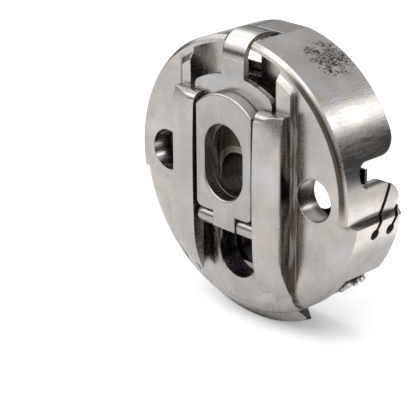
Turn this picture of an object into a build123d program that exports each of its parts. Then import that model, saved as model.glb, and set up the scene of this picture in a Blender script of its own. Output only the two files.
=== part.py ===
from build123d import *
import math
import os

# Bobbin case for a rotary hook. Millimetres. The bore axis is Y: the latch face looks toward -Y and the open
# side toward +Y. X is to the right and Z is up. The origin is on the bore axis, in the plane of the face's edge.

# ---- driving dimensions -------------------------------------------------------------------------------------
back_y = 8.3             # open rim
edge_chamfer = 0.4       # front edge of the upper wall
shoulder_y = 1.5         # where the rounded shoulder of the lower wall ends
shoulder_bulge = (0.12, -0.22)  # of its middle, from the chord
step_deg = -6.0          # right-hand end of the upper wall
far_step_deg = 190.0     # left-hand end of the upper wall
step_bevel_deg = 2.2     # slope of the step between the two walls
crown_rise = 2.53        # rise of the face on the axis
crown_r = 8.0            # flat middle of the face
crown_drop = 0.2         # fall of the face at that radius
floor_y = 2.6            # inside of the floor
cup_r = 12.9             # cup beside the floor
rim_step = 0.7           # widening of the cup at the rim
wall_t = 1.5             # upper wall, from the rim cup out
low_step = 0.5           # lower wall over the upper one
edge_band = 1.2          # flat band round the dome of the face
cup_step_y = 4.2         # where the cup widens
top_flat_depth = 0.15    # shallow flat behind the finger

rail_in = 4.4            # inner edge of the rails
rail_out = 7.9           # outer edge of the rails
rail_top = 8.6           # upper end of the rails
rail_round = 0.9         # upper end's front edge
rail_fillet = 0.7        # foot of the rails' outer sides
rail_edge_r = 0.8        # rounding of the rails' outer edges
rail_edge_y = -1.6       # where that rounding ends on the side
rail_end_rise = 2.15     # front of the rails at their upper end
strip_y = -0.5           # flat strips above the rails
slot_half = 5.75         # T-slot behind the rail lips
slot_floor_y = 0.0       # T-slot floor
slide_play = 0.15        # slide between the slot floor and the rail lips
pocket_left = 6.6        # pocket above the rails
pocket_right = 5.9
pocket_rim = 0.8         # thin rim left above the pocket
pocket_y = 1.5           # pocket floor
finger_half = 1.6        # neck and finger
finger_gap = 0.3         # each side of the finger in its slot
finger_slot_z = 11.0     # lower end of the finger's slot
finger_slot_y = 4.9      # depth of the finger's slot in the wall

hole_x = 10.8            # side holes of the face
hole_z = 0.2
hole_r = 2.3
low_hole_z = -8.8        # bottom hole of the face
low_hole_r = 2.8

sleeve_out_r = 3.12      # post sleeve
sleeve_bore_r = 2.55
sleeve_proud = 0.7       # past the rim
sleeve_chamfer = 0.15
collar_r = 3.55          # turned collar on the floor
collar_t = 0.35
seat_press_r = 3.3       # end pressed into the floor

plate_t = 0.75           # latch slide sheet
slide_gap = 0.06         # running gap of flat sliding faces
slide_side_gap = 0.15    # slide to the sides of its slot
shoulder_z = 11.2        # top of the slide's wide part, an arc
shoulder_arc_r = 10.5
shoulder_round = 1.0
slide_low_z = -3.2       # bottom of the slide's wide part
travel = 2.9             # slide travel
finger_t = 0.6           # curled finger
finger_inset = 2.15      # start of the curl below the wall
finger_bend_r = 2.3
finger_reach = 0.8       # straight stretch over the rim
finger_tip_r = 2.4
finger_tip_deg = 40.0

pin_z = -4.9             # hinge pin
pin_r = 0.45
pin_gap = 0.03           # running clearance of the hinge pin
knuckle_r = 1.0
hub_r = 0.98
hub_half = 1.6
hub_gap = 0.15           # between the lever's hub and a knuckle
hub_tail = 0.55          # lever front below the pin
lever_half = 4.04        # latch lever
lever_t = 1.43
lever_top_z = 9.5
lever_top_r = 5.5
lever_low_z = -3.75
lever_corner = 0.8
lever_edge = 0.25
window_half = 2.8        # window of the lever
window_low_z = -2.1
window_top_z = 6.2
post_hole_half = 2.9     # hole of the slide for the hook's post
post_hole_low_z = -2.1
post_hole_top_z = 5.9
toe_half = 1.4           # toe of the lever
toe_reach = 2.2
toe_drop = 1.55
toe_r = 0.4
toe_root_r = 0.25
toe_gap = 1.1            # beside the toe in the floor
toe_edge_r = 5.5         # edge that the toe works against
toe_window_z = -7.8

leaf_t = 0.3             # anti-spin plate
leaf_rim_gap = 0.3       # to the cup
leaf_gap = 0.35          # above the floor
leaf_slot_half = 3.15
leaf_slot_low_z = -7.0
leaf_slot_top_z = 11.0
leaf_collar_gap = 0.45
leaf_hole_x = 8.9
leaf_hole_z = 1.1
leaf_hole_w = 4.4
leaf_hole_len = 6.2
leaf_notch_z = -11.2
leaf_notch_half = 2.6
leaf_finger_gap = 0.25   # between the open latch's finger and the plate
tab_half = 0.8           # tab in the wall notch
tab_inset = 0.1          # end of the tab inside the wall
tongue_half = 1.9
tongue_low_z = 6.2
tongue_root = 0.5        # overlap of tongue and plate
ramp_top = 0.2           # slope of the tongue, below the recess's upper edge
ramp_low = 1.0
ramp_shift = 0.1         # of its rear face against its front face
recess_half = 2.4        # recess for the tongue
recess_depth = 0.5
recess_low_z = 5.3
recess_top_z = 10.6
brake_screw_z = 7.6
brake_head_r = 1.15
brake_head_t = 0.5
brake_shank_r = 0.5
brake_shank_len = 1.6

seat_inset = 0.8         # seat of the tension spring, below the lower wall
seat_front_y = 3.1
seat_start_deg = -36.0
seat_end_deg = -131.0
lip_rise = 1.3           # lip in front of the tension spring
lip_crest_y = 2.6
lip_start_deg = -62.0
lip_end_deg = -118.0
tension_t = 0.35         # tension spring
tension_bow = 0.35
tension_front_y = 3.3
tension_width = 4.2
tension_start_deg = -37.5
tension_end_deg = -127.0
tension_corner = 1.2
adjust_deg = -88.0       # adjusting screw
adjust_head_r = 1.1
adjust_head_t = 0.6
adjust_shank_r = 0.6
adjust_room = 0.22       # under its head
fix_deg = -42.0          # fixing screws
fix_ys = (4.25, 6.35)
fix_head_r = 0.8
fix_head_t = 0.5
fix_shank_r = 0.42
shank_inset = 0.1        # wall screws end short of the cup
driver_w = 0.28          # driver slots
driver_depth = 0.25
small_gap = 0.03         # between clamped faces and round a fixed shank
head_gap = 0.06          # under a screw's head
leaf_hole_gap = 0.09     # round a screw that goes through a leaf
adjust_hole_gap = 0.12
brake_turn = 20          # how far each driver slot is turned
adjust_turn = 65
fix_turns = (25, -50)

notch_low_z = 1.7        # wall notch
notch_high_z = 4.4
notch_y = 2.45
notch_corner = 1.2
notch_low_round = 2.6
notch_high_round = 2.2
slit_w = 0.48            # keyhole slits and thread slits
slit_hole_r = 0.6
slit_a = ((7.6, 3.1), (4.5, -3.55))
slit_b = ((9.0, 0.6), (6.9, -3.6))
thread_slit_degs = (-52.0, -84.0)
thread_slit_y = 6.0
exit_deg = -123.0        # thread exit under the leaf's free end
exit_len = 2.4
exit_w = 0.9
exit_turn = 60           # of its length, from Y

spring_x = -4.5          # latch coil spring
spring_r = 0.6
spring_wire_r = 0.15
wire_sides = 12          # the thin wire is many-sided in section
spring_low_z = -2.6
spring_len = 8.4
spring_turns = 12
groove_gap = 0.15
hook_t = 0.5             # hook of the slide on the spring
hook_half = 0.6
hook_gap = 0.05

REAR = (0, 1, 0)
far = 20.0               # past every outside face


# ---- places -------------------------------------------------------------------------------------------------
def at_y(y):
    """Sketch plane square to the bore axis: sketch x is X and sketch y is Z."""
    return Plane(origin=(0, y, 0), x_dir=(1, 0, 0), z_dir=(0, -1, 0))


def at_x(x):
    """Sketch plane square to X: sketch x is Y and sketch y is Z."""
    return Plane(origin=(x, 0, 0), x_dir=(0, 1, 0), z_dir=(1, 0, 0))


def radial(deg):
    """Half-plane through the bore axis: sketch x is the radius and sketch y is Y."""
    a = math.radians(deg)
    out = (math.cos(a), 0, math.sin(a))
    return Plane(origin=(0, 0, 0), x_dir=out, z_dir=(-out[2], 0, out[0]))


def on_wall(deg, r, y):
    """Sketch plane on the wall that looks outward: sketch x is Y."""
    a = math.radians(deg)
    out = (math.cos(a), 0, math.sin(a))
    return Plane(origin=(r * out[0], y, r * out[2]), x_dir=(0, 1, 0), z_dir=out)


def polar(r, deg):
    """Point of an at_y sketch at a radius and an angle from +X toward +Z."""
    a = math.radians(deg)
    return (r * math.cos(a), r * math.sin(a))


def ring_sector(r_in, r_out, deg_a, deg_b):
    """Flat sector of a ring between two angles, to be added to a sketch."""
    mid = 0.5 * (deg_a + deg_b)
    with BuildSketch() as sector:
        with BuildLine():
            ThreePointArc(polar(r_in, deg_a), polar(r_in, mid), polar(r_in, deg_b))
            Line(polar(r_in, deg_b), polar(r_out, deg_b))
            ThreePointArc(polar(r_out, deg_b), polar(r_out, mid), polar(r_out, deg_a))
            Line(polar(r_out, deg_a), polar(r_in, deg_a))
        make_face()
    return sector.sketch


rim_r = cup_r + rim_step
wall_r = rim_r + wall_t
low_r = wall_r + low_step
face_r = wall_r - edge_band
seat_r = low_r - seat_inset
lip_r = low_r + lip_rise
leaf_r = cup_r - leaf_rim_gap
tab_end_x = wall_r - tab_inset
finger_bend_z = wall_r - finger_inset
top_flat_z = wall_r - top_flat_depth
shank_end_r = rim_r + shank_inset
sleeve_end_y = back_y + sleeve_proud
lip_y = slot_floor_y - plate_t - slide_play
slide_back_y = slot_floor_y - slide_gap
slide_front_y = slide_back_y - plate_t
slide_half = slot_half - slide_side_gap
pin_y = slide_back_y - knuckle_r
lever_back_y = slide_front_y - slide_gap
lever_front_y = lever_back_y - lever_t
leaf_y = floor_y + leaf_gap
leaf_top_z = finger_bend_z + finger_bend_r - 0.5 * finger_t - travel - leaf_finger_gap
seat_mid_y = tension_front_y + 0.5 * tension_width
spring_y = slot_floor_y + spring_r + groove_gap
spring_top_z = spring_low_z + spring_len
tongue_y = floor_y - recess_depth + small_gap
leaf_in_r = seat_r + small_gap
groove_half = spring_r + groove_gap

# ---- case body ----------------------------------------------------------------------------------------------
with BuildPart() as case_body:
    # turned blank: dome, flat edge band and wall
    with BuildSketch(Plane.XY):
        with BuildLine():
            crown_edge = (crown_r, crown_drop - crown_rise)
            ThreePointArc((0, -crown_rise), (0.5 * crown_r, 0.25 * crown_drop - crown_rise), crown_edge)
            TangentArc(crown_edge, (face_r, 0), tangent=(crown_r, 2 * crown_drop))
            Polyline((face_r, 0), (low_r, 0), (low_r, back_y), (0, back_y), (0, -crown_rise))
        make_face()
    revolve(axis=Axis.Y)
    # upper wall: turned down, with a small chamfer at its front edge
    with BuildSketch(radial(far_step_deg)):
        Polygon((wall_r - edge_chamfer - 1, -1), (far, -1), (far, back_y + 1), (wall_r, back_y + 1),
                (wall_r, edge_chamfer), align=None)
    revolve(axis=Axis.Y, revolution_arc=far_step_deg - step_deg, mode=Mode.SUBTRACT)
    # lower wall: the dome runs over a rounded shoulder into the wall
    with BuildSketch(radial(step_deg)):
        with BuildLine():
            shoulder_mid = (0.5 * (face_r + low_r) + shoulder_bulge[0], 0.5 * shoulder_y + shoulder_bulge[1])
            ThreePointArc((face_r, 0), shoulder_mid, (low_r, shoulder_y))
            Polyline((low_r, shoulder_y), (far, shoulder_y), (far, -1), (face_r, -1), (face_r, 0))
        make_face()
    revolve(axis=Axis.Y, revolution_arc=360 - (far_step_deg - step_deg), mode=Mode.SUBTRACT)
    # sloped steps between the two walls
    for deg, turn in ((step_deg, -1), (far_step_deg, 1)):
        with BuildSketch(at_y(back_y)):
            with BuildLine():
                outer = polar(low_r + small_gap, deg + turn * step_bevel_deg)
                Polyline(polar(wall_r, deg), outer, polar(far, deg), close=True)
            make_face()
        extrude(amount=far, mode=Mode.SUBTRACT)
    # lip in front of the tension spring
    with BuildSketch(radial(lip_start_deg)):
        with BuildLine():
            Polyline((low_r - 1, shoulder_y), (low_r, shoulder_y), (lip_r, lip_crest_y), (lip_r, seat_front_y),
                     (low_r - 1, seat_front_y), close=True)
        make_face()
    revolve(axis=Axis.Y, revolution_arc=lip_start_deg - lip_end_deg)
    # seat of the tension spring
    with BuildSketch(at_y(back_y + 1)):
        add(ring_sector(seat_r, far, seat_end_deg, seat_start_deg))
    extrude(amount=back_y + 1 - seat_front_y, mode=Mode.SUBTRACT)
    # cup
    for r, y in ((cup_r, floor_y), (rim_r, cup_step_y)):
        with BuildSketch(at_y(y)):
            Circle(r)
        extrude(amount=far, dir=REAR, mode=Mode.SUBTRACT)
    # flats outside the rails, with a filleted foot
    with BuildSketch(Plane.XY):
        with BuildLine():
            foot_x = rail_out + rail_fillet
            edge_x = rail_out - rail_edge_r
            CenterArc((foot_x, -rail_fillet), rail_fillet, 90, 90)
            Line((rail_out, -rail_fillet), (rail_out, rail_edge_y))
            CenterArc((edge_x, rail_edge_y), rail_edge_r, -90, 90)
            Polyline((edge_x, rail_edge_y - rail_edge_r), (edge_x, -far), (far, -far), (far, 0), (foot_x, 0))
        make_face()
        mirror(about=Plane.YZ)
    extrude(amount=far, both=True, mode=Mode.SUBTRACT)
    # channel between the rails, and the T-slot behind their lips
    with BuildSketch(at_y(lip_y)):
        Rectangle(2 * rail_in, 2 * far)
    extrude(amount=far, mode=Mode.SUBTRACT)
    with BuildSketch(at_y(slot_floor_y)):
        Rectangle(2 * slot_half, 2 * far)
    extrude(amount=slot_floor_y - lip_y, mode=Mode.SUBTRACT)
    # pocket above the rails
    with BuildSketch(at_y(pocket_y)):
        with Locations((-pocket_left, rail_top)):
            Rectangle(pocket_left + pocket_right, far, align=(Align.MIN, Align.MIN))
        Circle(wall_r - pocket_rim, mode=Mode.INTERSECT)
    extrude(amount=far, mode=Mode.SUBTRACT)
    # flat strips above the rails
    with BuildSketch(at_y(strip_y)):
        with Locations((0, rail_top)):
            Rectangle(2 * (rail_out + rail_fillet), far, align=(Align.CENTER, Align.MIN))
    extrude(amount=far, mode=Mode.SUBTRACT)
    # rounded upper ends of the rails
    round_y = rail_round - rail_end_rise
    with BuildSketch(at_x(0)):
        with Locations((round_y, rail_top - rail_round)):
            Rectangle(far, 2 * rail_round, align=(Align.MAX, Align.MIN))
            Circle(rail_round, mode=Mode.SUBTRACT)
    extrude(amount=rail_out + rail_fillet, both=True, mode=Mode.SUBTRACT)
    # slot for the finger, through the floor and the front of the wall
    with BuildSketch(at_y(finger_slot_y)):
        with Locations((0, finger_slot_z)):
            Rectangle(2 * (finger_half + finger_gap), far, align=(Align.CENTER, Align.MIN))
    extrude(amount=far, mode=Mode.SUBTRACT)
    # shallow flat behind the finger
    with BuildSketch(at_y(back_y + 1)):
        with Locations((0, top_flat_z)):
            Rectangle(2 * far, far, align=(Align.CENTER, Align.MIN))
    extrude(amount=back_y + 1 - finger_slot_y, mode=Mode.SUBTRACT)
    # holes of the face and the seat of the sleeve
    with BuildSketch(at_y(floor_y)):
        with Locations((-hole_x, hole_z), (hole_x, hole_z)):
            Circle(hole_r)
        with Locations((0, low_hole_z)):
            Circle(low_hole_r)
        Circle(seat_press_r)
    extrude(amount=far, mode=Mode.SUBTRACT)
    # window for the toe, with a round edge that the toe works against
    with BuildSketch(at_y(floor_y)):
        with Locations((0, toe_window_z)):
            Rectangle(2 * (toe_half + toe_gap), -toe_window_z - 0.5 * toe_edge_r, align=(Align.CENTER, Align.MIN))
        Circle(toe_edge_r, mode=Mode.SUBTRACT)
    extrude(amount=floor_y - slot_floor_y, mode=Mode.SUBTRACT)
    # recess and tapped hole for the tongue of the anti-spin plate
    with BuildSketch(at_y(floor_y)):
        with Locations((0, recess_low_z)):
            Rectangle(2 * recess_half, recess_top_z - recess_low_z, align=(Align.CENTER, Align.MIN))
    extrude(amount=recess_depth, mode=Mode.SUBTRACT)
    with BuildSketch(at_y(floor_y)):
        with Locations((0, brake_screw_z)):
            Circle(brake_shank_r + small_gap)
    extrude(amount=floor_y - slot_floor_y, mode=Mode.SUBTRACT)
    # groove of the latch coil spring
    with BuildSketch(at_y(slot_floor_y)):
        with Locations((spring_x, spring_low_z)):
            Rectangle(2 * groove_half, spring_len + hook_t + 2 * hook_gap + small_gap, align=(Align.CENTER, Align.MIN))
    extrude(amount=2 * groove_half, dir=REAR, mode=Mode.SUBTRACT)
    # wall notch, open to the rim
    with BuildSketch(at_x(rail_out)):
        with BuildLine():
            CenterArc((back_y - notch_high_round, notch_high_z + notch_high_round), notch_high_round, -90, 90)
            Line((back_y - notch_high_round, notch_high_z), (notch_y + notch_corner, notch_high_z))
            CenterArc((notch_y + notch_corner, notch_high_z - notch_corner), notch_corner, 90, 90)
            Line((notch_y, notch_high_z - notch_corner), (notch_y, notch_low_z + notch_corner))
            CenterArc((notch_y + notch_corner, notch_low_z + notch_corner), notch_corner, 180, 90)
            Line((notch_y + notch_corner, notch_low_z), (back_y - notch_low_round, notch_low_z))
            CenterArc((back_y - notch_low_round, notch_low_z - notch_low_round), notch_low_round, 0, 90)
            Polyline((back_y, notch_low_z - notch_low_round), (far, notch_low_z - notch_low_round),
                     (far, notch_high_z + notch_high_round), (back_y, notch_high_z + notch_high_round))
        make_face()
    extrude(amount=far, mode=Mode.SUBTRACT)
    # keyhole slits below the notch
    for start, end in (slit_a, slit_b):
        with BuildSketch(at_x(rail_out)):
            with BuildLine():
                Line(start, end)
            trace(line_width=slit_w)
            with Locations(end):
                Circle(slit_hole_r)
        extrude(amount=far, mode=Mode.SUBTRACT)
    # thread slits in the rim and the thread exit
    for deg in thread_slit_degs:
        with BuildSketch(radial(deg)):
            with Locations((cup_r, thread_slit_y)):
                Rectangle(far, far, align=(Align.MIN, Align.MIN))
        extrude(amount=0.5 * slit_w, both=True, mode=Mode.SUBTRACT)
    with BuildSketch(on_wall(exit_deg, cup_r - 1, seat_mid_y)):
        SlotOverall(exit_len, exit_w, rotation=exit_turn)
    extrude(amount=far - cup_r, mode=Mode.SUBTRACT)
    # tapped holes for the screws of the tension spring
    with BuildSketch(on_wall(adjust_deg, cup_r, seat_mid_y)):
        Circle(adjust_shank_r + small_gap)
    extrude(amount=far - cup_r, mode=Mode.SUBTRACT)
    for y in fix_ys:
        with BuildSketch(on_wall(fix_deg, cup_r, y)):
            Circle(fix_shank_r + small_gap)
        extrude(amount=far - cup_r, mode=Mode.SUBTRACT)

# ---- post sleeve --------------------------------------------------------------------------------------------
with BuildPart() as post_sleeve:
    with BuildSketch(Plane.XY):
        with BuildLine():
            Polyline((sleeve_bore_r, slot_floor_y), (seat_press_r, slot_floor_y), (seat_press_r, floor_y),
                     (collar_r, floor_y), (collar_r, floor_y + collar_t), (sleeve_out_r, floor_y + collar_t),
                     (sleeve_out_r, sleeve_end_y - sleeve_chamfer), (sleeve_out_r - sleeve_chamfer, sleeve_end_y),
                     (sleeve_bore_r + sleeve_chamfer, sleeve_end_y), (sleeve_bore_r, sleeve_end_y - sleeve_chamfer),
                     close=True)
        make_face()
    revolve(axis=Axis.Y)

# ---- latch slide --------------------------------------------------------------------------------------------
with BuildPart() as latch_slide:
    with BuildSketch(at_y(slide_back_y)) as sheet:
        with BuildLine():
            shoulder_side_z = shoulder_z - shoulder_arc_r + math.sqrt(shoulder_arc_r**2 - slide_half**2)
            ThreePointArc((-slide_half, shoulder_side_z), (0, shoulder_z), (slide_half, shoulder_side_z))
            Polyline((slide_half, shoulder_side_z), (slide_half, slide_low_z), (-slide_half, slide_low_z),
                     (-slide_half, shoulder_side_z))
        make_face()
        fillet(sheet.vertices().group_by(Axis.Y)[-1], shoulder_round)
        with Locations((0, slide_low_z)):
            Rectangle(2 * finger_half, finger_bend_z - slide_low_z, align=(Align.CENTER, Align.MIN))
        for side in (-1, 1):
            strap_x = 0.5 * (hub_half + hub_gap + lever_half)
            with Locations((side * strap_x, pin_z)):
                Rectangle(lever_half - hub_half - hub_gap, slide_low_z - pin_z + 1, align=(Align.CENTER, Align.MIN))
        with Locations((0, 0.5 * (post_hole_low_z + post_hole_top_z))):
            SlotOverall(post_hole_top_z - post_hole_low_z, 2 * post_hole_half, rotation=90, mode=Mode.SUBTRACT)
    extrude(amount=plate_t)
    # curled finger: up, over the rim and down at the tip
    with BuildSketch(at_x(-finger_half)):
        with BuildLine():
            mid_y = slide_back_y - 0.5 * plate_t
            Line((mid_y, shoulder_z), (mid_y, finger_bend_z))
            over = JernArc((mid_y, finger_bend_z), (0, 1), finger_bend_r, -90)
            reach = Line(over @ 1, over @ 1 + Vector(finger_reach, 0))
            JernArc(reach @ 1, (1, 0), finger_tip_r, -finger_tip_deg)
        trace(line_width=finger_t)
    extrude(amount=2 * finger_half)
    # rolled knuckles
    for side in (-1, 1):
        with BuildSketch(at_x(side * strap_x)):
            with Locations((pin_y, pin_z)):
                Circle(knuckle_r)
        extrude(amount=0.5 * (lever_half - hub_half - hub_gap), both=True)
    with BuildSketch(at_x(0)):
        with Locations((pin_y, pin_z)):
            Circle(pin_r)
    extrude(amount=far, both=True, mode=Mode.SUBTRACT)
    # hook that bears on the coil spring
    with BuildSketch(at_y(slide_back_y)):
        with Locations((spring_x, spring_top_z + hook_gap)):
            Rectangle(2 * hook_half, hook_t, align=(Align.CENTER, Align.MIN))
    extrude(amount=spring_y + hook_half, dir=REAR)

# ---- hinge pin ----------------------------------------------------------------------------------------------
with BuildPart() as hinge_pin:
    with BuildSketch(at_x(-lever_half)):
        with Locations((pin_y, pin_z)):
            Circle(pin_r)
    extrude(amount=2 * lever_half)

# ---- latch lever --------------------------------------------------------------------------------------------
with BuildPart() as latch_lever:
    with BuildSketch(at_y(lever_back_y)) as flap:
        with BuildLine():
            side_z = lever_top_z - lever_top_r + math.sqrt(lever_top_r**2 - lever_half**2)
            ThreePointArc((-lever_half, side_z), (0, lever_top_z), (lever_half, side_z))
            Polyline((lever_half, side_z), (lever_half, lever_low_z), (-lever_half, lever_low_z), (-lever_half, side_z))
        make_face()
        fillet(flap.vertices().group_by(Axis.Y)[0], lever_corner)
        with Locations((0, pin_z - hub_tail)):
            Rectangle(2 * hub_half, lever_low_z - pin_z + hub_tail + 1, align=(Align.CENTER, Align.MIN))
        with Locations((0, 0.5 * (window_low_z + window_top_z))):
            SlotOverall(window_top_z - window_low_z, 2 * window_half, rotation=90, mode=Mode.SUBTRACT)
    extrude(amount=lever_back_y - lever_front_y)
    fillet(faces().sort_by(Axis.Y)[0].edges(), lever_edge)
    # hub round the pin
    with BuildSketch(at_x(-hub_half)):
        with Locations((pin_y, pin_z)):
            Circle(hub_r)
    extrude(amount=2 * hub_half)
    # toe that reaches into the floor window
    with BuildSketch(at_x(-toe_half)):
        with Locations((pin_y + toe_root_r, pin_z + toe_root_r - hub_r)):
            Circle(toe_root_r)
        with Locations((pin_y + toe_reach, pin_z - toe_drop)):
            Circle(toe_r)
        make_hull()
    extrude(amount=2 * toe_half)
    with BuildSketch(at_x(0)):
        with Locations((pin_y, pin_z)):
            Circle(pin_r + pin_gap)
    extrude(amount=far, both=True, mode=Mode.SUBTRACT)

# ---- latch coil spring --------------------------------------------------------------------------------------
with BuildPart() as latch_spring:
    wire_len = spring_len - 2 * spring_wire_r
    centre = (spring_x, spring_y, spring_low_z + spring_wire_r)
    coil_r = spring_r - spring_wire_r
    with BuildLine():
        helix = Helix(wire_len / spring_turns, wire_len, coil_r, center=centre)
    with BuildSketch(Plane(origin=helix @ 0, z_dir=helix % 0)):
        RegularPolygon(spring_wire_r, wire_sides)
    sweep(is_frenet=True)

# ---- anti-spin plate ----------------------------------------------------------------------------------------
with BuildPart() as anti_spin_plate:
    with BuildSketch(at_y(leaf_y)):
        Circle(leaf_r)
        with Locations((0, 0.5 * (leaf_slot_low_z + leaf_slot_top_z))):
            Rectangle(2 * leaf_slot_half, leaf_slot_top_z - leaf_slot_low_z, mode=Mode.SUBTRACT)
        Circle(collar_r + leaf_collar_gap, mode=Mode.SUBTRACT)
        with Locations((-leaf_hole_x, leaf_hole_z), (leaf_hole_x, leaf_hole_z)):
            SlotOverall(leaf_hole_len, leaf_hole_w, rotation=90, mode=Mode.SUBTRACT)
        with Locations((0, leaf_notch_z)):
            Rectangle(2 * leaf_notch_half, far, align=(Align.CENTER, Align.MAX), mode=Mode.SUBTRACT)
        with Locations((0, leaf_top_z)):
            Rectangle(2 * (finger_half + finger_gap), far, align=(Align.CENTER, Align.MIN), mode=Mode.SUBTRACT)
        with Locations((leaf_r - 1, 0.5 * (notch_low_z + notch_high_z))):
            Rectangle(tab_end_x - leaf_r + 1, 2 * tab_half, align=(Align.MIN, Align.CENTER))
    extrude(amount=leaf_t, dir=REAR)
    # tongue: level at the plate, down a slope and flat in the recess
    with BuildSketch(at_x(-tongue_half)):
        with BuildLine():
            bend_z = recess_top_z - small_gap
            root_z = leaf_slot_top_z + tongue_root
            Polyline((leaf_y, root_z), (leaf_y, bend_z - ramp_top), (tongue_y, bend_z - ramp_low),
                     (tongue_y, tongue_low_z), (tongue_y + leaf_t, tongue_low_z),
                     (tongue_y + leaf_t, bend_z - ramp_low - ramp_shift),
                     (leaf_y + leaf_t, bend_z - ramp_top - ramp_shift), (leaf_y + leaf_t, root_z), close=True)
        make_face()
    extrude(amount=2 * tongue_half)
    with BuildSketch(at_y(floor_y)):
        with Locations((0, brake_screw_z)):
            Circle(brake_shank_r + leaf_hole_gap)
    extrude(amount=floor_y, mode=Mode.SUBTRACT)


# ---- screws -------------------------------------------------------------------------------------------------
def slotted_screw(plane, head_r, head_t, shank_r, shank_len, slot_turn):
    """Cheese-head screw whose head sits on the plane and whose shank goes down below it."""
    with BuildPart() as screw:
        with BuildSketch(plane):
            Circle(head_r)
        extrude(amount=head_t)
        with BuildSketch(plane):
            Circle(shank_r)
        extrude(amount=-shank_len)
        with BuildSketch(plane.offset(head_t)):
            Rectangle(3 * head_r, driver_w, rotation=slot_turn)
        extrude(amount=-driver_depth, mode=Mode.SUBTRACT)
    return screw.part


brake_head_y = tongue_y + leaf_t + head_gap
brake_plane = Plane(origin=(0, brake_head_y, brake_screw_z), x_dir=(1, 0, 0), z_dir=REAR)
anti_spin_screw = slotted_screw(brake_plane, brake_head_r, brake_head_t, brake_shank_r, brake_shank_len,
                                brake_turn)

# ---- tension spring -----------------------------------------------------------------------------------------
# The leaf is an arc that touches its seat at both ends and stands off by the bow between them.
bow_mid_deg = 0.5 * (tension_start_deg + tension_end_deg)
bow_half = math.radians(0.5 * (tension_start_deg - tension_end_deg))
bow_crest_r = leaf_in_r + tension_bow
bow_shift = (bow_crest_r**2 - leaf_in_r**2) / (2 * (bow_crest_r - leaf_in_r * math.cos(bow_half)))
bow_r = bow_crest_r - bow_shift


def leaf_outer_r(deg):
    """Distance from the bore axis to the outside of the leaf at an angle."""
    turn = math.radians(deg - bow_mid_deg)
    return bow_shift * math.cos(turn) + math.sqrt((bow_r + tension_t)**2 - (bow_shift * math.sin(turn))**2)


with BuildPart() as tension_spring:
    with BuildSketch(at_y(tension_front_y)):
        add(ring_sector(cup_r, far, tension_end_deg, tension_start_deg))
        with Locations(polar(bow_shift, bow_mid_deg)):
            Circle(bow_r + tension_t, mode=Mode.INTERSECT)
            Circle(bow_r, mode=Mode.SUBTRACT)
    extrude(amount=tension_width, dir=REAR)
    ends = edges().filter_by(lambda e: e.geom_type == GeomType.LINE and e.length < 2 * tension_t)
    fillet(ends, tension_corner)
    with BuildSketch(on_wall(adjust_deg, cup_r, seat_mid_y)):
        Circle(adjust_shank_r + adjust_hole_gap)
    extrude(amount=far - cup_r, mode=Mode.SUBTRACT)
    for y in fix_ys:
        with BuildSketch(on_wall(fix_deg, cup_r, y)):
            Circle(fix_shank_r + leaf_hole_gap)
        extrude(amount=far - cup_r, mode=Mode.SUBTRACT)

adjust_r = leaf_outer_r(adjust_deg) + adjust_room
tension_adjusting_screw = slotted_screw(on_wall(adjust_deg, adjust_r, seat_mid_y), adjust_head_r, adjust_head_t,
                                        adjust_shank_r, adjust_r - shank_end_r, adjust_turn)
fix_r = leaf_outer_r(fix_deg) + head_gap
fixing_screws = []
for y, turn in zip(fix_ys, fix_turns):
    fixing_screws.append(slotted_screw(on_wall(fix_deg, fix_r, y), fix_head_r, fix_head_t, fix_shank_r,
                                       fix_r - shank_end_r, turn))

# ---- export -------------------------------------------------------------------------------------------------
pieces = {
    "case_body": case_body.part,
    "post_sleeve": post_sleeve.part,
    "latch_slide": latch_slide.part,
    "hinge_pin": hinge_pin.part,
    "latch_lever": latch_lever.part,
    "latch_spring": latch_spring.part,
    "anti_spin_plate": anti_spin_plate.part,
    "anti_spin_screw": anti_spin_screw,
    "tension_spring": tension_spring.part,
    "tension_adjusting_screw": tension_adjusting_screw,
    "tension_fixing_screw_1": fixing_screws[0],
    "tension_fixing_screw_2": fixing_screws[1],
}
os.makedirs("parts", exist_ok=True)
for name, piece in pieces.items():
    piece.label = name
    export_step(piece, f"parts/{name}.step")
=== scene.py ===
# %% [markdown]
# # Bobbin case for a rotary hook
#
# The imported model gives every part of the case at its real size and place. This lesson dresses it:
# a camera and a small studio first, then the shader groups that several metals share, then one
# finish for each kind of steel, and last the coil spring, which is wound anew because a coil has to
# shorten when the latch opens.

import math

import bpy
import numpy as np
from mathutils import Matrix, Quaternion, Vector


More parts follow.
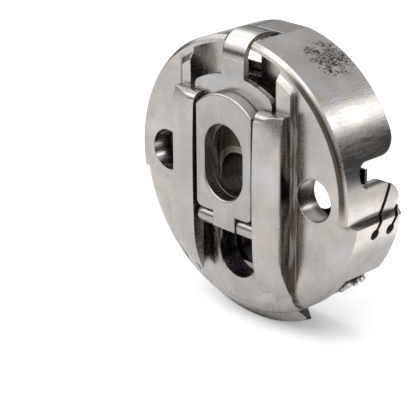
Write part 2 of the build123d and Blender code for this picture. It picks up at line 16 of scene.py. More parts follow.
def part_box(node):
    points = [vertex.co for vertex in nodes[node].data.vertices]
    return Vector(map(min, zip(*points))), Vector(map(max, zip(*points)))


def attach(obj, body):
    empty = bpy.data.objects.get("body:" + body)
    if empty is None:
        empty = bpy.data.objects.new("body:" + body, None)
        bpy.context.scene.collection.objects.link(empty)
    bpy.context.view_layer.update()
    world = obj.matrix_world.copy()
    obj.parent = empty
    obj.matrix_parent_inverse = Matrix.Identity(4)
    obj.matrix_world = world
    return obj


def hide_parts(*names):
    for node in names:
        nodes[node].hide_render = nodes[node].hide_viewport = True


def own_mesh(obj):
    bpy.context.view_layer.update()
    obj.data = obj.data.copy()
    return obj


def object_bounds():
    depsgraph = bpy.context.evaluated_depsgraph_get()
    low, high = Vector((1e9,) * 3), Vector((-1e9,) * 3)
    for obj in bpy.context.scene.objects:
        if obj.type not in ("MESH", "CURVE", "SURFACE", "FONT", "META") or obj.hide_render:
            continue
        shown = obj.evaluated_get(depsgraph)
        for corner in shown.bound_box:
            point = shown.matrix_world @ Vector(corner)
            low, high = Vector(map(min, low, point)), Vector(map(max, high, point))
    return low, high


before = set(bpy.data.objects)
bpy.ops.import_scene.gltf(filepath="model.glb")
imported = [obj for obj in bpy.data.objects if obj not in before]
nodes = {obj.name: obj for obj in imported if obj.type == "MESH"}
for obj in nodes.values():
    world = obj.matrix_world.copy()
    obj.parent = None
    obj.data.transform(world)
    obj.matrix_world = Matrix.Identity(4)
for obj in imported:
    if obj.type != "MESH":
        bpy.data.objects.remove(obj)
cad_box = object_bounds()
scene = bpy.context.scene
MM = 0.001
print("CAD nodes:", len(nodes))

# %% [markdown]
# ## Camera
#
# Small metal parts are shown through a long lens, so that round edges stay round. The camera could
# be placed by eye, but an azimuth, an elevation and a distance from the bore's centre say the same
# thing in three numbers that are easy to change. The lens shift slides the picture without turning
# the camera.

# %% Camera
AZIMUTH = math.radians(45.06)
ELEVATION = math.radians(20.93)
ROLL = math.radians(-0.1)
DISTANCE = 0.1766


def toward(azimuth, elevation):
    """Unit vector (sin az cos el, -cos az cos el, sin el): azimuth 0 is the latch face's side, -Y."""
    flat = math.cos(elevation)
    return Vector((math.sin(azimuth) * flat, -math.cos(azimuth) * flat, math.sin(elevation)))


def degrees(azimuth, elevation):
    """The same vector from two angles in degrees."""
    return toward(math.radians(azimuth), math.radians(elevation))


camera_data = bpy.data.cameras.new("camera")
camera_data.sensor_width = 36.0
camera_data.lens = 145.3
camera_data.shift_x = -0.0723
camera_data.shift_y = -0.0772
camera_data.clip_start = 0.01
camera_data.clip_end = 20.0
camera = bpy.data.objects.new("camera", camera_data)
scene.collection.objects.link(camera)
sight = toward(AZIMUTH, ELEVATION)
camera.location = sight * DISTANCE
camera.rotation_mode = "QUATERNION"
camera.rotation_quaternion = sight.to_track_quat("Z", "Y") @ Quaternion((0, 0, 1), ROLL)
scene.camera = camera
scene.view_settings.view_transform = "Standard"
print("camera at", [round(c, 4) for c in camera.location])

# %% [markdown]
# ## Floor
#
# The case stands on its wall on a plain white table. One large square is enough: it has no
# thickness to show, and its edge is far outside any view.

# %% Helpers for meshes
def new_mesh(name, points, faces, smooth=True):
    """A mesh object at the origin from an array of points and an array of faces."""
    mesh = bpy.data.meshes.new(name)
    mesh.from_pydata(points.tolist(), [], faces.tolist())
    mesh.polygons.foreach_set("use_smooth", np.full(len(faces), smooth))
    mesh.update()
    piece = bpy.data.objects.new(name, mesh)
    scene.collection.objects.link(piece)
    return piece


def grid_faces(rows, columns, wrap):
    """Quads of a grid with that many rows of points. With wrap, the last column meets the first."""
    row = np.arange(rows - 1)[:, None]
    column = np.arange(columns if wrap else columns - 1)[None, :]
    after = (column + 1) % columns
    corners = [row * columns + column, row * columns + after, (row + 1) * columns + after,
               (row + 1) * columns + column]
    return np.stack(corners, axis=-1).reshape(-1, 4)


# %% Floor
FLOOR_Z = cad_box[0][2] - 0.00002
FLOOR_SIZE = 3.0


def square(centre, along, up, width, height):
    """Four corners: the centre plus or minus half the width along one vector and half the height up."""
    signs = np.array([(-1, -1), (1, -1), (1, 1), (-1, 1)]) * 0.5
    return np.array(centre) + signs[:, :1] * width * np.array(along) + signs[:, 1:] * height * np.array(up)


ONE_FACE = np.array([[0, 1, 2, 3]])
floor = new_mesh("floor", square((0, 0, FLOOR_Z), (1, 0, 0), (0, 1, 0), FLOOR_SIZE, FLOOR_SIZE), ONE_FACE)
print("floor at z =", round(FLOOR_Z, 5))

# %% [markdown]
# ## Shader helpers
#
# A node tree is a set of boxes and wires. A few small helpers place a box, set its inputs and hand
# back its result in one line, so that each material reads like a recipe.

# %% Node helpers
def box(tree, kind, inputs=None, **settings):
    """A node of that kind. settings are its own properties, inputs are numbers or wires for its sockets."""
    made = tree.nodes.new(kind)
    for key, value in settings.items():
        setattr(made, key, value)
    for key, value in (inputs or {}).items():
        if isinstance(value, bpy.types.NodeSocket):
            tree.links.new(value, made.inputs[key])
        else:
            made.inputs[key].default_value = value
    return made


def math_node(tree, operation, a, b=0.0, clamp=False):
    """The result of one sum on two numbers or wires."""
    return box(tree, "ShaderNodeMath", {0: a, 1: b}, operation=operation, use_clamp=clamp).outputs[0]


def product(tree, first, *others):
    """All the numbers or wires multiplied together."""
    for other in others:
        first = math_node(tree, "MULTIPLY", first, other)
    return first


def vector_math(tree, operation, a, b=(0.0, 0.0, 0.0), output="Vector"):
    """The result of one sum on two vectors or wires. Lengths and dot products come out as Value."""
    return box(tree, "ShaderNodeVectorMath", {0: a, 1: b}, operation=operation).outputs[output]


def noise(tree, vector, scale, detail, output=0):
    """Soft noise between 0 and 1, with that many marks to each unit of the vector."""
    inputs = {"Vector": vector, "Scale": scale, "Detail": detail}
    return box(tree, "ShaderNodeTexNoise", inputs).outputs[output]


def ramp(tree, value, low, high, to_low=0.0, to_high=1.0):
    """value carried from low..high to to_low..to_high, smoothly and with no overshoot."""
    inputs = {"Value": value, "From Min": low, "From Max": high, "To Min": to_low, "To Max": to_high}
    return box(tree, "ShaderNodeMapRange", inputs, interpolation_type="SMOOTHSTEP").outputs[0]


def stripe(tree, value, start, full, fade, end):
    """0 up to start, 1 from full to fade, and 0 again from end."""
    return product(tree, ramp(tree, value, start, full), ramp(tree, value, fade, end, 1.0, 0.0))


def blend_colour(tree, share, first, second):
    """first where share is 0, second where it is 1."""
    mixer = box(tree, "ShaderNodeMix", {0: share, 6: first, 7: second}, data_type="RGBA")
    return mixer.outputs[2]


def new_group(name, inputs, outputs):
    """An empty shader group: (tree, its input node, its output node). Sockets are (name, kind, default)."""
    tree = bpy.data.node_groups.new(name, "ShaderNodeTree")
    for socket, kind, default in inputs:
        made = tree.interface.new_socket(socket, in_out="INPUT", socket_type=kind)
        made.default_value = default
    for socket, kind in outputs:
        tree.interface.new_socket(socket, in_out="OUTPUT", socket_type=kind)
    return tree, tree.nodes.new("NodeGroupInput").outputs, tree.nodes.new("NodeGroupOutput").inputs


def in_mm(tree, stretch=(1.0, 1.0, 1.0)):
    """Object coordinates in millimetres, so that a pattern's scale reads as marks per millimetre."""
    place = box(tree, "ShaderNodeTexCoord").outputs["Object"]
    return vector_math(tree, "MULTIPLY", place, tuple(share / MM for share in stretch))


FLOAT = "NodeSocketFloat"
VECTOR = "NodeSocketVector"

# %% [markdown]
# ## Group: worn edges
#
# Handling polishes every sharp edge of a steel part, and a thin bright line runs along it. The line
# could be modelled as a bevel on each edge, but the turned and milled edges here are too many. The
# Bevel node answers the same question in the shader: it rounds the normal near an edge, and where
# the rounded normal differs from the true one, there is an edge.

# %% Worn edges
edges_group, given, result = new_group(
    "worn edges",
    [("Radius mm", FLOAT, 0.12), ("Breakup", FLOAT, 0.5)],
    [("Edge", FLOAT), ("Normal", VECTOR)],
)
radius = math_node(edges_group, "MULTIPLY", given["Radius mm"], MM)
rounded = box(edges_group, "ShaderNodeBevel", {"Radius": radius}, samples=6).outputs[0]
true_normal = box(edges_group, "ShaderNodeNewGeometry").outputs["Normal"]
likeness = vector_math(edges_group, "DOT_PRODUCT", rounded, true_normal, output="Value")
edge = ramp(edges_group, math_node(edges_group, "SUBTRACT", 1.0, likeness), 0.01, 0.16)
patchy = ramp(edges_group, noise(edges_group, in_mm(edges_group), 1.3, 4.0), 0.35, 0.6)
lost = product(edges_group, given["Breakup"], math_node(edges_group, "SUBTRACT", 1.0, patchy))
kept = math_node(edges_group, "SUBTRACT", 1.0, lost)
edges_group.links.new(math_node(edges_group, "MULTIPLY", edge, kept, clamp=True), result["Edge"])
edges_group.links.new(rounded, result["Normal"])
print("group:", edges_group.name)

# %% [markdown]
# ## Group: painted crevice shade
#
# Painted shade: the colour darkens in corners and crevices, where shade falls. The Ambient Occlusion
# node measures how closed-in a point is. Noise breaks the mask up, so that the shade is never an even
# gradient.

# %% Painted crevice shade
shade_group, given, result = new_group(
    "crevice painted shade",
    [("Reach mm", FLOAT, 1.5), ("Amount", FLOAT, 0.6)],
    [("Shade", FLOAT)],
)
# Painted shade: the colour darkens where the Ambient Occlusion node finds a point closed in.
reach = math_node(shade_group, "MULTIPLY", given["Reach mm"], MM)
occlusion = box(shade_group, "ShaderNodeAmbientOcclusion", {"Distance": reach}, samples=8)
closed = math_node(shade_group, "SUBTRACT", 1.0, occlusion.outputs["AO"])
closed = ramp(shade_group, closed, 0.3, 0.85)
shade_breakup = noise(shade_group, in_mm(shade_group), 2.2, 5.0)
closed = product(shade_group, closed, ramp(shade_group, shade_breakup, 0.25, 0.6, 0.55, 1.0))
closed = math_node(shade_group, "MULTIPLY", closed, given["Amount"], clamp=True)
shade_group.links.new(closed, result["Shade"])
print("group:", shade_group.name)

# %% [markdown]
# ## Group: polish
#
# A satin finish is thousands of fine scratches from a polishing belt, all in one direction, over
# soft clouds where the belt pressed harder. Both are noise: one stretched thin across the belt, one
# left round.

# %% Polish
polish_group, given, result = new_group(
    "polish",
    [("Belt", VECTOR, (8.0, 8.0, 0.6)), ("Cloud per mm", FLOAT, 0.22)],
    [("Scratch", FLOAT), ("Cloud", FLOAT)],
)
place = in_mm(polish_group)
across = vector_math(polish_group, "MULTIPLY", place, given["Belt"])
inputs = {"Vector": across, "Scale": 1.0, "Detail": 6.0, "Roughness": 0.65}
scratch = box(polish_group, "ShaderNodeTexNoise", inputs)
inputs = {"Vector": place, "Scale": given["Cloud per mm"], "Detail": 5.0, "Distortion": 0.6}
cloud = box(polish_group, "ShaderNodeTexNoise", inputs)
polish_group.links.new(scratch.outputs[0], result["Scratch"])
polish_group.links.new(ramp(polish_group, cloud.outputs[0], 0.3, 0.7), result["Cloud"])
print("group:", polish_group.name)

# %% [markdown]
# ## Group: specks
#
# Old plating shows tiny dark pinholes, a few here and a cluster there. A Voronoi pattern gives each
# cell a centre and a random number: a speck is drawn round the centre, in only a share of the
# cells.

# %% Specks
specks_group, given, result = new_group(
    "specks",
    [("Per mm", FLOAT, 2.0), ("Share", FLOAT, 0.1), ("Size", FLOAT, 0.2)],
    [("Speck", FLOAT)],
)
place = in_mm(specks_group)
BEND_MM = 0.35
bend = noise(specks_group, place, 3.0, 3.0, output="Color")
bent = vector_math(specks_group, "ADD", place, vector_math(specks_group, "MULTIPLY", bend, (BEND_MM,) * 3))
cells = box(specks_group, "ShaderNodeTexVoronoi", {"Vector": bent, "Scale": given["Per mm"]})
luck = box(specks_group, "ShaderNodeSeparateColor", {0: cells.outputs["Color"]}).outputs
chosen = math_node(specks_group, "LESS_THAN", luck[0], given["Share"])
own_size = product(specks_group, given["Size"], math_node(specks_group, "ADD", 0.4, luck[1]))
inside = math_node(specks_group, "LESS_THAN", cells.outputs["Distance"], own_size)
specks_group.links.new(product(specks_group, chosen, inside), result["Speck"])
print("group:", specks_group.name)

# %% [markdown]
# ## Group: patch
#
# Some marks belong to one place only. This group is a soft ball: 1 at its centre, 0 at its edge,
# and squeezed by three half-widths, so that it can lie along a wall.

# %% Patch
patch_group, given, result = new_group(
    "patch",
    [("Centre mm", VECTOR, (0.0, 0.0, 0.0)), ("Half widths mm", VECTOR, (1.0, 1.0, 1.0))],
    [("Patch", FLOAT)],
)
offset = vector_math(patch_group, "SUBTRACT", in_mm(patch_group), given["Centre mm"])
offset = vector_math(patch_group, "DIVIDE", offset, given["Half widths mm"])
length = vector_math(patch_group, "LENGTH", offset, output="Value")
patch_group.links.new(ramp(patch_group, length, 0.0, 1.0, 1.0, 0.0), result["Patch"])
print("group:", patch_group.name)

# %% [markdown]
# ## One recipe for all the steels
#
# Every metal here is the same recipe with its own numbers: a clean colour and a tarnished one mixed
# by the clouds, painted shade in the corners, specks, and bright edges on top. The clean colour drifts a
# little between warm and cool, as plating does where it has thinned. The scratches feed a Bump node
# and the roughness. The Principled shader stays in the material itself, and whatever is the same
# all over is set on its own sockets.

# %% The steel recipe
def use(tree, group, **inputs):
    """A shared group placed in a material. An underscore in an input's name stands for a space."""
    made = box(tree, "ShaderNodeGroup", node_tree=group)
    for key, value in inputs.items():
        made.inputs[key.replace("_", " ")].default_value = value
    return made.outputs


SHADE_AND_PIT_BLACK = (0.035, 0.026, 0.02, 1.0)
PINHOLE = (0.06, 0.05, 0.045, 1.0)
SCRATCH_MM = 0.02
WARM = (1.03, 0.99, 0.96)
COOL = (0.96, 0.99, 1.05)


def tinted(colour, shares):
    """The colour with its red, green and blue multiplied by three shares, kept at 1 or less."""
    return tuple(min(1.0, part * share) for part, share in zip(colour[:3], shares)) + (1.0,)


def steel(name, clean, tarnish, shine=(0.22, 0.36), belt=(8.0, 8.0, 0.6), scratch_depth=0.25,
          edge_mm=0.12, edge_colour=None, edge_share=0.6, shade_amount=0.6, speck_share=0.05, reach_mm=1.5):
    """Metal: colour = clean..tarnish by cloud, then painted crevice shade, specks and edges. Returns parts
    to build on.
    """
    material = bpy.data.materials.new(name)
    material.use_nodes = True
    tree = material.node_tree
    shader = tree.nodes["Principled BSDF"]
    polish = use(tree, polish_group, Belt=belt)
    worn = use(tree, edges_group, Radius_mm=edge_mm)
    crevice_shade = use(tree, shade_group, Amount=shade_amount, Reach_mm=reach_mm)
    speck = use(tree, specks_group, Share=speck_share, Per_mm=3.5, Size=0.17)
    breath = ramp(tree, noise(tree, in_mm(tree), 0.3, 3.0), 0.42, 0.62)
    colour = blend_colour(tree, breath, tinted(clean, WARM), tinted(clean, COOL))
    colour = blend_colour(tree, polish["Cloud"], tarnish, colour)
    # Painted shade in the crevices, from the crevice shade group; the same black also colours the real
    # pinholes below.
    colour = blend_colour(tree, crevice_shade["Shade"], colour, SHADE_AND_PIT_BLACK)
    colour = blend_colour(tree, speck["Speck"], colour, PINHOLE)
    bright = product(tree, worn["Edge"], edge_share)
    colour = blend_colour(tree, bright, colour, edge_colour or tinted(clean, (1.3, 1.3, 1.3)))
    rough = ramp(tree, polish["Cloud"], 0.0, 1.0, 0.06, 0.0)
    rough = math_node(tree, "ADD", rough, ramp(tree, polish["Scratch"], 0.3, 0.7, *shine))
    rough = math_node(tree, "ADD", rough, product(tree, crevice_shade["Shade"], 0.3), clamp=True)
    inputs = {"Strength": scratch_depth, "Distance": SCRATCH_MM * MM, "Height": polish["Scratch"],
              "Normal": worn["Normal"]}
    bump = box(tree, "ShaderNodeBump", inputs)
    tree.links.new(colour, shader.inputs["Base Color"])
    tree.links.new(rough, shader.inputs["Roughness"])
    tree.links.new(bump.outputs[0], shader.inputs["Normal"])
    shader.inputs["Metallic"].default_value = 1.0
    return {"material": material, "tree": tree, "shader": shader, "colour": colour, "rough": rough,
            "bump": bump, "scratch": polish["Scratch"]}


def dress(material, *names):
    """Puts a finish in every material slot of those CAD nodes."""
    for name in names:
        for slot in nodes[name].material_slots:
            slot.material = material
    print(material.name, "on", ", ".join(names))


# %% [markdown]
# ## Case steel
#
# The cup is turned and belt-polished steel with thin plating: warm grey, brighter on every edge,
# brown in the milled pocket from the painted crevice shade, with a cluster of pits on top of the wall
# where the plating has gone and the steel is stained. The pits are the specks group twice, fine and
# coarse, held to one place by the patch group. Painted shade lies along the foot of each rail, in the
# channel below the lever and on the edge of the face: each is a stripe by distance from a middle,
# broken by noise drawn out lengthwise. The depths of the two side holes and the shoulder of the
# lower wall are painted dark as shade too, and three more patches see to them.

# %% Case steel
PAINTED_SHADE_COLOUR = (0.05, 0.038, 0.03, 1.0)
STAIN = (0.13, 0.085, 0.065, 1.0)
RAIL_FOOT_MM = (7.75, 7.92, 8.3, 8.9)
RAIL_TOP_MM = (10.5, 12.0)
CHANNEL_SIDE_MM = (4.3, 4.42)
CHANNEL_MM = (-11.6, -9.4, 8.0, 8.6)
UNDER_LATCH_MM = (-5.5, -4.5)
FACE_EDGE_MM = (14.05, 14.3, 14.75, 15.0)
case_steel = steel("case_steel", (0.48, 0.458, 0.438, 1.0), (0.38, 0.36, 0.34, 1.0), shine=(0.15, 0.28),
                   reach_mm=1.6, shade_amount=0.8, belt=(5.0, 0.5, 5.0), speck_share=0.035)
tree = case_steel["tree"]
streak = ramp(tree, noise(tree, in_mm(tree, (3.0, 3.0, 0.25)), 1.0, 5.0), 0.38, 0.60)
apart = box(tree, "ShaderNodeSeparateXYZ", {0: in_mm(tree)}).outputs
beside = math_node(tree, "ABSOLUTE", apart[0])
# Painted shade: stripes along the foot of each rail, in the channel under the lever and along the face's
# edge.
foot = product(tree, stripe(tree, beside, *RAIL_FOOT_MM), ramp(tree, apart[2], *RAIL_TOP_MM, 1.0, 0.0),
               ramp(tree, streak, 0.0, 1.0, 0.7, 1.0))
hidden = math_node(tree, "MAXIMUM", ramp(tree, apart[2], *UNDER_LATCH_MM),
                   ramp(tree, streak, 0.0, 1.0, 0.35, 0.95))
channel = product(tree, ramp(tree, beside, *CHANNEL_SIDE_MM, 1.0, 0.0),
                  stripe(tree, apart[2], *CHANNEL_MM), hidden)
ring_r = vector_math(tree, "LENGTH", in_mm(tree, (1.0, 0.0, 1.0)), output="Value")
rim_line = product(tree, stripe(tree, ring_r, *FACE_EDGE_MM), ramp(tree, apart[0], 6.0, 9.0, 0.0, 0.95),
                   ramp(tree, apart[2], -2.0, 1.0))
painted_shade = math_node(tree, "MAXIMUM", math_node(tree, "MAXIMUM", foot, channel), rim_line)
print("stripes: rail foot, channel, face edge")

# %% Painted shade places and pits of the case
PAINTED_SHADE_PLACES_MM = {
    "right hole": ((10.9, 2.4, 0.0), (4.0, 1.9, 4.0)),
    "left hole": ((-10.9, 2.4, 0.0), (4.0, 2.6, 4.0)),
    "lower wall's shoulder": ((14.8, 4.2, -1.7), (1.6, 5.5, 0.8)),
}
# Painted shade in the depths of the two side holes and on the lower wall's shoulder.
for centre, half_widths in PAINTED_SHADE_PLACES_MM.values():
    shaded = use(tree, patch_group, Centre_mm=centre, Half_widths_mm=half_widths)["Patch"]
    painted_shade = math_node(tree, "MAXIMUM", painted_shade, ramp(tree, shaded, 0.0, 0.5, 0.0, 0.9))
pit_patch = use(tree, patch_group, Centre_mm=(7.1, 6.0, 13.2), Half_widths_mm=(4.9, 3.8, 2.8))
fine_pits = use(tree, specks_group, Per_mm=7.5, Share=0.62, Size=0.55)
coarse_pits = use(tree, specks_group, Per_mm=3.6, Share=0.45, Size=0.5)
crumble = noise(tree, in_mm(tree), 1.1, 4.0)
where = product(tree, pit_patch["Patch"], ramp(tree, crumble, 0.38, 0.62, 0.35, 1.6))
pits = math_node(tree, "MAXIMUM", fine_pits["Speck"], coarse_pits["Speck"])
pits = product(tree, pits, math_node(tree, "GREATER_THAN", where, 0.31))
# The painted shade darkens the colour here; the stain and the pits after it are real.
colour = blend_colour(tree, painted_shade, case_steel["colour"], PAINTED_SHADE_COLOUR)
colour = blend_colour(tree, ramp(tree, where, 0.45, 1.1, 0.0, 0.5), colour, STAIN)
colour = blend_colour(tree, pits, colour, SHADE_AND_PIT_BLACK)
tree.links.new(colour, case_steel["shader"].inputs["Base Color"])
rough = math_node(tree, "ADD", case_steel["rough"], product(tree, pits, 0.35), clamp=True)
tree.links.new(rough, case_steel["shader"].inputs["Roughness"])
sunk = math_node(tree, "SUBTRACT", case_steel["scratch"], product(tree, pits, 2.0))
tree.links.new(sunk, case_steel["bump"].inputs["Height"])
dress(case_steel["material"], "case_body")

# %% [markdown]
# ## Sheet, sleeve and small parts
#
# The latch is stamped from sheet and polished lengthwise, so its scratches run along Z, and its
# finger is painted lighter on top: rubbed wear where it catches at every use, together with a painted
# highlight. The sleeve is turned, so its marks run round the bore: noise that changes only along Y.
# Springs and screws are smaller and darker, and they get finer numbers.

# %% Latch, sleeve, pin and screws
sheet_steel = steel("sheet_steel", (0.42, 0.41, 0.40, 1.0), (0.33, 0.315, 0.30, 1.0), shine=(0.12, 0.28),
                    belt=(7.0, 7.0, 0.5), edge_mm=0.10, edge_share=0.75)
tree = sheet_steel["tree"]
FINGER_MM = (0.0, 0.2, 15.3)
FINGER_HIGHLIGHT_AND_WEAR = (0.78, 0.77, 0.75, 1.0)
# Painted highlight on the finger's top, together with rubbed wear.
finger_highlight_and_wear = use(tree, patch_group, Centre_mm=FINGER_MM, Half_widths_mm=(3.4, 2.0, 1.1))["Patch"]
colour = blend_colour(tree, ramp(tree, finger_highlight_and_wear, 0.0, 0.6), sheet_steel["colour"], FINGER_HIGHLIGHT_AND_WEAR)
tree.links.new(colour, sheet_steel["shader"].inputs["Base Color"])
dress(sheet_steel["material"], "latch_slide")
lever_steel = steel("lever_steel", (0.43, 0.415, 0.40, 1.0), (0.35, 0.335, 0.32, 1.0), shine=(0.2, 0.36),
                    belt=(5.0, 5.0, 0.6), edge_mm=0.12, edge_share=0.75)
dress(lever_steel["material"], "latch_lever")
sleeve_steel = steel("sleeve_steel", (0.24, 0.22, 0.20, 1.0), (0.13, 0.115, 0.10, 1.0), shine=(0.15, 0.3),
                     belt=(0.15, 9.0, 0.15), scratch_depth=0.8, edge_colour=(0.5, 0.48, 0.46, 1.0),
                     shade_amount=0.9)
dress(sleeve_steel["material"], "post_sleeve")
pin_steel = steel("pin_steel", (0.45, 0.44, 0.43, 1.0), (0.36, 0.34, 0.32, 1.0), belt=(0.5, 9.0, 9.0),
                  edge_mm=0.05)
dress(pin_steel["material"], "hinge_pin")
bright_screw = steel("bright_screw", (0.66, 0.65, 0.63, 1.0), (0.5, 0.48, 0.46, 1.0), shine=(0.15, 0.3),
                     belt=(6.0, 6.0, 6.0), edge_mm=0.06, reach_mm=0.6, shade_amount=0.8)
dress(bright_screw["material"], "tension_adjusting_screw", "tension_fixing_screw_1",
      "tension_fixing_screw_2")
dark_screw = steel("dark_screw", (0.12, 0.115, 0.115, 1.0), (0.06, 0.055, 0.055, 1.0), shine=(0.25, 0.4),
                   belt=(6.0, 6.0, 6.0), edge_mm=0.06, edge_colour=(0.4, 0.38, 0.36, 1.0))
dress(dark_screw["material"], "anti_spin_screw")

# %% [markdown]
# ## Blued and blackened leaves
#
# Spring steel is hardened, and its heat colours or a black oxide stay on it. The anti-spin leaf is
# blue-violet with brown clouds, and the tension leaf is black with edges worn to bare metal.

# %% Blued and blackened leaves
blued_steel = steel("blued_steel", (0.050, 0.046, 0.075, 1.0), (0.075, 0.052, 0.045, 1.0),
                    shine=(0.14, 0.26), belt=(4.0, 4.0, 0.8), edge_mm=0.06,
                    edge_colour=(0.38, 0.35, 0.33, 1.0), shade_amount=0.3)
dress(blued_steel["material"], "anti_spin_plate")
black_steel = steel("black_steel", (0.030, 0.030, 0.034, 1.0), (0.018, 0.017, 0.018, 1.0),
                    shine=(0.2, 0.34), belt=(5.0, 0.7, 5.0), edge_mm=0.07,
                    edge_colour=(0.30, 0.29, 0.28, 1.0), shade_amount=0.2)
dress(black_steel["material"], "tension_spring")

# %% [markdown]
# ## Coil spring
#
# The latch spring is a wound wire whose end turns are closed and lie flat. A bevelled curve could
# make it, but a tube carried along a helix in one array is just as short and gives clean quads. A
# real coil is squashed by the slide's travel, and a CAD solid can't be.

# %% Coil spring
low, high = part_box("latch_spring")
low = np.array(low)
high = np.array(high)
WIRE_R = 0.15 * MM
TURNS = 12
CLOSED_TURNS = 1.0
CLOSED_PITCH = 0.55
STEPS = 480
SIDES = 14


def coil(bottom, top, coil_r):
    """Wire tube: centre line (r cos t, r sin t, z(t)), where z rises slowly in the closed end turns.
    Each ring is the centre plus the wire radius times cos and sin of the ring angle, out and up.
    The last two points close the tube's ends."""
    turn = np.linspace(0.0, 1.0, STEPS)
    pitch = np.full(STEPS, 1.0)
    closed = CLOSED_TURNS / TURNS
    pitch[(turn < closed) | (turn > 1.0 - closed)] = CLOSED_PITCH
    rise = np.concatenate([[0.0], np.cumsum(0.5 * (pitch[1:] + pitch[:-1]))])
    height = bottom[2] + WIRE_R + rise / rise[-1] * (top[2] - bottom[2] - 2.0 * WIRE_R)
    angle = 2.0 * np.pi * TURNS * turn
    outward = np.stack([np.cos(angle), np.sin(angle), np.zeros(STEPS)], axis=1)
    middle = 0.5 * (bottom + top)
    centre = outward * coil_r + np.array([middle[0], middle[1], 0.0])
    centre[:, 2] = height
    ring = np.linspace(0.0, 2.0 * np.pi, SIDES, endpoint=False)
    up = np.array([0.0, 0.0, 1.0])
    tube = centre[:, None, :] + WIRE_R * (np.cos(ring)[None, :, None] * outward[:, None, :]
                                          + np.sin(ring)[None, :, None] * up)
    return np.concatenate([tube.reshape(-1, 3), centre[:1], centre[-1:]])


points = coil(low, high, 0.5 * (high[0] - low[0]) - WIRE_R)
wall = grid_faces(STEPS, SIDES, wrap=True)[:, ::-1]
here = np.arange(SIDES)
after = (here + 1) % SIDES
last_ring = (STEPS - 1) * SIDES
start_cap = np.stack([np.full(SIDES, len(points) - 2), after, here], axis=1)
end_cap = np.stack([np.full(SIDES, len(points) - 1), last_ring + here, last_ring + after], axis=1)
mesh = bpy.data.meshes.new("coil_spring")
mesh.from_pydata(points.tolist(), [], wall.tolist() + start_cap.tolist() + end_cap.tolist())
mesh.polygons.foreach_set("use_smooth", np.full(len(mesh.polygons), True))
mesh.update()
coil_spring = bpy.data.objects.new("coil_spring", mesh)
scene.collection.objects.link(coil_spring)
spring_wire = steel("spring_wire", (0.42, 0.41, 0.40, 1.0), (0.30, 0.28, 0.26, 1.0),
                    belt=(3.0, 3.0, 3.0), edge_mm=0.03, reach_mm=0.5)
coil_spring.data.materials.append(spring_wire["material"])
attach(coil_spring, "case")
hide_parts("latch_spring")
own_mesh(coil_spring)
print("coil spring faces:", len(mesh.polygons))

# %% [markdown]
# ## Studio
#
# Polished steel has no look of its own: it shows the room. So the room is made for it. The
# surroundings are grey at the height of the table and brighter overhead, and a soft light hangs
# above. A long panel at the back right draws the white band on the wall, a dark card below it draws
# the dark band, and a light one on the table brightens the wall's lower part. The cards are seen
# only in reflections.

# %% Surroundings
world = bpy.data.worlds.new("studio")
scene.world = world
world.use_nodes = True
tree = world.node_tree
tree.nodes.clear()
direction = box(tree, "ShaderNodeTexCoord").outputs["Generated"]
height = box(tree, "ShaderNodeSeparateXYZ", {0: direction}).outputs[2]
low_sky = ramp(tree, height, 0.16, 0.36)
high_sky = ramp(tree, height, 0.60, 0.85)
west = vector_math(tree, "DOT_PRODUCT", direction, (-0.8, -0.6, 0.0), output="Value")
window = blend_colour(tree, ramp(tree, west, 0.1, 0.5), (0.75, 0.75, 0.75, 1.0), (1.6, 1.6, 1.6, 1.0))
room = blend_colour(tree, low_sky, (0.10, 0.097, 0.094, 1.0), window)
room = blend_colour(tree, high_sky, room, (0.80, 0.80, 0.80, 1.0))
seen = box(tree, "ShaderNodeBackground", {"Color": (1.0, 1.0, 1.0, 1.0), "Strength": 1.0})
felt = box(tree, "ShaderNodeBackground", {"Color": room, "Strength": 1.0})
is_camera = box(tree, "ShaderNodeLightPath").outputs["Is Camera Ray"]
both = box(tree, "ShaderNodeMixShader", {0: is_camera, 1: felt.outputs[0], 2: seen.outputs[0]})
tree.links.new(both.outputs[0], box(tree, "ShaderNodeOutputWorld").inputs["Surface"])
print("surroundings:", world.name)

# %% [markdown]
# ## Table
#
# The table is plain white with the faint unevenness of paper. Under soft light alone a white table
# comes out a little grey, and a stronger light would bleach the metal too. A weak glow that only the
# camera sees lifts the table and leaves the metal as it is.

# %% Table
SHADOW_FILL = 0.27
table = bpy.data.materials.new("table")
table.use_nodes = True
tree = table.node_tree
shader = tree.nodes["Principled BSDF"]
paper = noise(tree, in_mm(tree), 0.05, 3.0)
paper = blend_colour(tree, paper, (0.90, 0.895, 0.89, 1.0), (0.93, 0.93, 0.93, 1.0))
tree.links.new(paper, shader.inputs["Base Color"])
fill = product(tree, box(tree, "ShaderNodeLightPath").outputs["Is Camera Ray"], SHADOW_FILL)
tree.links.new(fill, shader.inputs["Emission Strength"])
shader.inputs["Emission Color"].default_value = (1.0, 1.0, 1.0, 1.0)
shader.inputs["Roughness"].default_value = 0.9
shader.inputs["Specular IOR Level"].default_value = 0.1
floor.data.materials.append(table)
print("table glow:", SHADOW_FILL)

# %% [markdown]
# ## Lights and cards
#
# Two soft lamps make the shadow: a wide one overhead and a weak one at the front left. The cards
# glow evenly, and only reflections see them, so each one draws its own shape on the steel and
# lights nothing else.

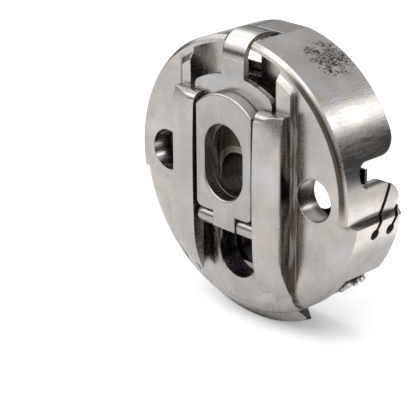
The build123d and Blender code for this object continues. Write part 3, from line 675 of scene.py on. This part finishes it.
# %% Lights and cards
def face_origin(thing, centre, spin=0.0):
    """Turns a light or card at that place so that its front looks at the origin."""
    thing.location = centre
    thing.rotation_mode = "QUATERNION"
    thing.rotation_quaternion = Vector(centre).to_track_quat("Z", "Y") @ Quaternion((0, 0, 1), spin)


def soft_light(name, centre, width, height, watts, spin=0.0):
    """A rectangular lamp with that width, height and power."""
    data = bpy.data.lights.new(name, "AREA")
    data.shape = "RECTANGLE"
    data.size = width
    data.size_y = height
    data.energy = watts
    lamp = bpy.data.objects.new(name, data)
    scene.collection.objects.link(lamp)
    face_origin(lamp, centre, spin)
    lamp.visible_camera = False
    return lamp


def card(name, centre, width, height, glow, spin=0.0):
    """A flat card that only reflections see, with an even glow."""
    corners = square((0, 0, 0), (1, 0, 0), (0, 1, 0), width, height)
    piece = new_mesh(name, corners, ONE_FACE, smooth=False)
    face_origin(piece, centre, spin)
    material = bpy.data.materials.new(name)
    material.use_nodes = True
    tree = material.node_tree
    tree.nodes.clear()
    emission = box(tree, "ShaderNodeEmission", {"Color": (glow, glow, glow, 1.0), "Strength": 1.0})
    tree.links.new(emission.outputs[0], box(tree, "ShaderNodeOutputMaterial").inputs["Surface"])
    piece.data.materials.append(material)
    piece.visible_camera = False
    piece.visible_diffuse = False
    piece.visible_shadow = False
    return piece


# Each line gives the place in metres, the width, the height, the power or glow, and the spin.
soft_light("overhead", degrees(10, 75) * 0.35, 0.40, 0.40, 0.8)
soft_light("front_left", degrees(-50, 38) * 0.4, 0.25, 0.12, 0.12)
card("wall_band", degrees(140, 30) * 0.09, 0.10, 0.016, 3.5, math.radians(-35))
card("wall_shade", degrees(134, 8) * 0.075, 0.10, 0.036, 0.07)
floor_glow = card("floor_glow", Vector((0.034, 0.022, FLOOR_Z + 0.0003)), 0.028, 0.034, 1.9)
floor_glow.rotation_quaternion = (1.0, 0.0, 0.0, 0.0)
print("lamps:", len(bpy.data.lights), "and three cards")

# %% [markdown]
# ## Sizes and the end
#
# The box round the CAD model is printed at the end.

# %% Sizes and the end
print("CAD box:", cad_box)
